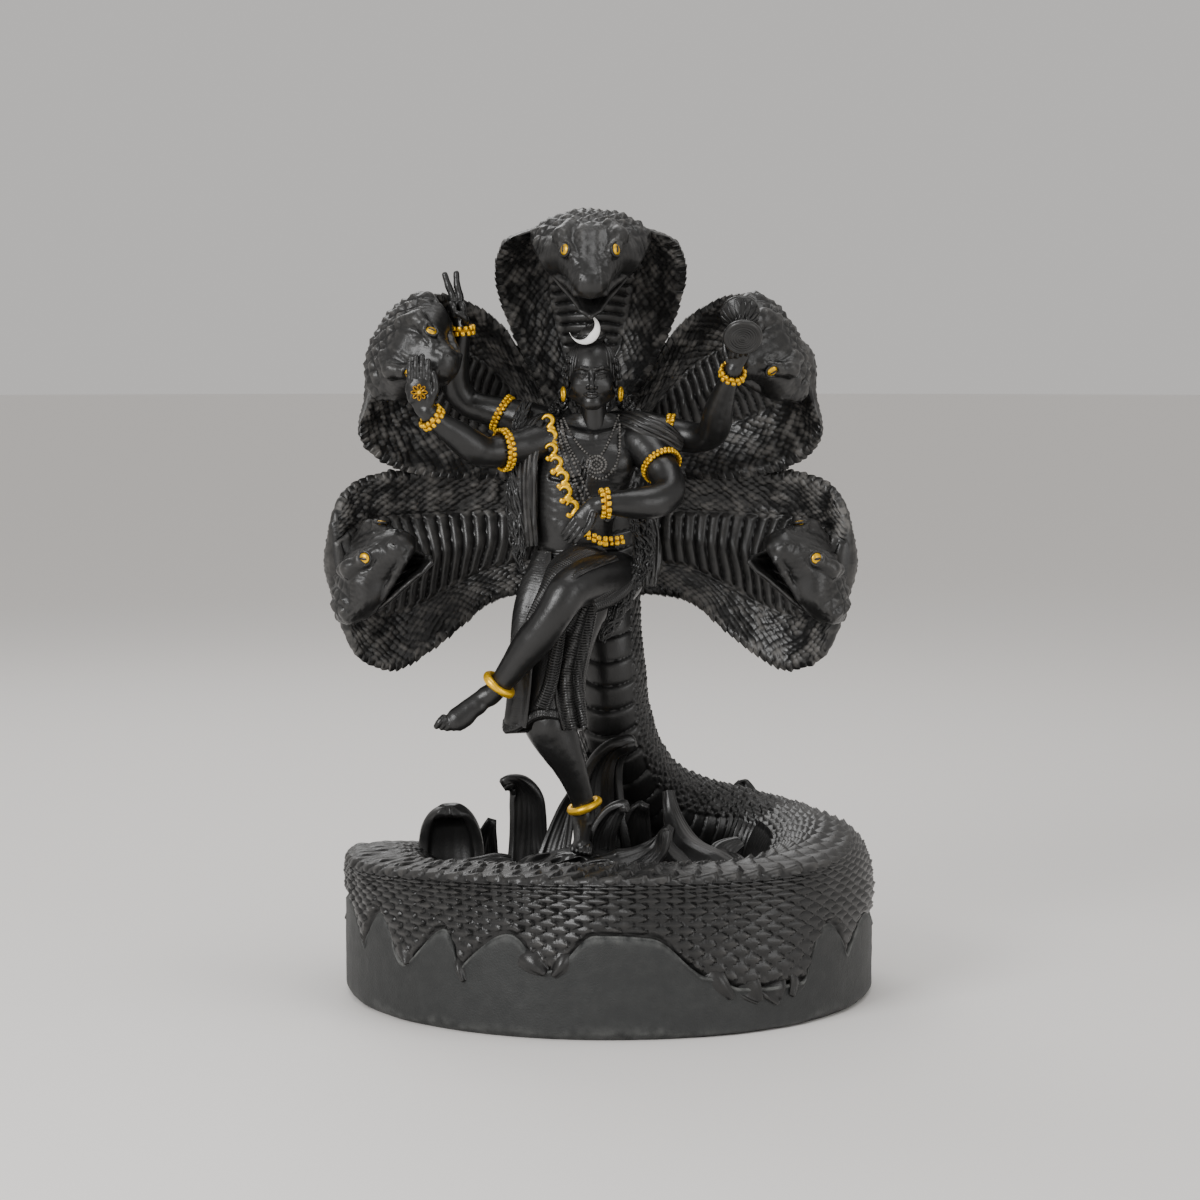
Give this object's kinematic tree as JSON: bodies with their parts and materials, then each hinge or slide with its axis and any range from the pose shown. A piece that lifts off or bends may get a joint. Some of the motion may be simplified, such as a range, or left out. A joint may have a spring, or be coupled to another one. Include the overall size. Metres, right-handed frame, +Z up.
{
  "type": "dancing deity statue",
  "caption": "Cast resin statue of a four-armed dancer on one foot before a rearing many-headed cobra, on a round base with a wavy rim.",
  "frame": {"origin": "centre of the flat underside of the round base", "axes": "+Z up, -Y is the dancer's front, +X is to a viewer's right"},
  "size_m": [0.1968, 0.188, 0.2774],
  "materials": {
    "black_resin": "satin black cast resin with faint grey dry-brushed highlights",
    "base_resin": "matt charcoal cast resin",
    "gold_paint": "gold paint on cast resin",
    "white_paint": "silvery white paint on cast resin"
  },
  "bodies": {
    "root": {"serpent_coil": "black_resin", "serpent_trunk": "black_resin", "serpent_head_top": "black_resin", "serpent_head_upper_left": "black_resin", "serpent_head_upper_right": "black_resin", "serpent_head_lower_left": "black_resin", "serpent_head_lower_right": "black_resin", "hood_top": "black_resin", "hood_upper_left": "black_resin", "hood_upper_right": "black_resin", "hood_lower_left": "black_resin", "hood_lower_right": "black_resin", "head": "black_resin", "hair_bun": "black_resin", "torso": "black_resin", "dhoti": "black_resin", "sash_end": "black_resin", "hand_drum": "black_resin", "raised_leg": "black_resin", "standing_leg": "black_resin", "arm_front_right": "black_resin", "arm_front_left": "black_resin", "arm_rear_right": "black_resin", "arm_rear_left": "black_resin", "side_tresses": "black_resin", "wave_round_left": "black_resin", "wave_thin_left": "black_resin", "wave_tall": "black_resin", "wave_behind_foot": "black_resin", "wave_dish": "black_resin", "wave_ridge_right": "black_resin", "wave_rear": "black_resin", "foot_mound": "black_resin", "eye_top_a": "gold_paint", "eye_top_b": "gold_paint", "eye_upper_left_a": "gold_paint", "eye_upper_left_b": "gold_paint", "eye_upper_right_a": "gold_paint", "eye_upper_right_b": "gold_paint", "eye_lower_left_a": "gold_paint", "eye_lower_left_b": "gold_paint", "eye_lower_right_a": "gold_paint", "eye_lower_right_b": "gold_paint", "palm_rosette": "gold_paint", "armlet_front_right": "gold_paint", "armlet_front_left": "gold_paint", "armlet_rear_right": "gold_paint", "armlet_rear_left": "gold_paint", "bracelet_front_right": "gold_paint", "bracelet_front_left": "gold_paint", "bracelet_rear_right": "gold_paint", "bracelet_rear_left": "gold_paint", "anklet_raised": "gold_paint", "anklet_standing": "gold_paint", "earring_right": "gold_paint", "earring_left": "gold_paint", "garland": "gold_paint", "waist_chain": "gold_paint", "crescent_moon": "white_paint", "base_drum": "base_resin"}
  },
  "joints": []
}
